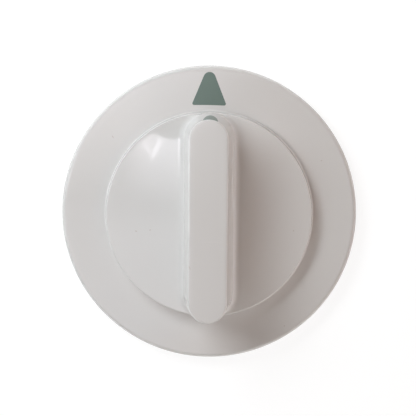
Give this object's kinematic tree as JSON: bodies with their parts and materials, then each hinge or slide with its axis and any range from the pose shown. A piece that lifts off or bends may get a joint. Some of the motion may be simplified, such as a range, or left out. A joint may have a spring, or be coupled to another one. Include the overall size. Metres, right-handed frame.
{
  "type": "dryer timer knob",
  "caption": "Round white push-on timer knob: flat skirt with a printed pointer, low drum crossed by a tall grip bar, and a split hub with a spring clip for a D-shaped shaft.",
  "frame": {"origin": "on the shaft's axis, in the plane of the skirt's back rim", "axes": "+Z out through the knob's face along the shaft's axis, +Y towards the pointer, +X to the right of the pointer seen from the front"},
  "size_m": [0.072, 0.072, 0.0178],
  "materials": {
    "white_plastic": "glossy white moulded plastic with faint scuffs",
    "spring_steel": "bright cold-rolled spring steel strip",
    "green_print": "grey-green pad print, slightly duller than the plastic"
  },
  "bodies": {
    "root": {"knob_body": "white_plastic", "shaft_clip": "spring_steel"}
  },
  "joints": []
}
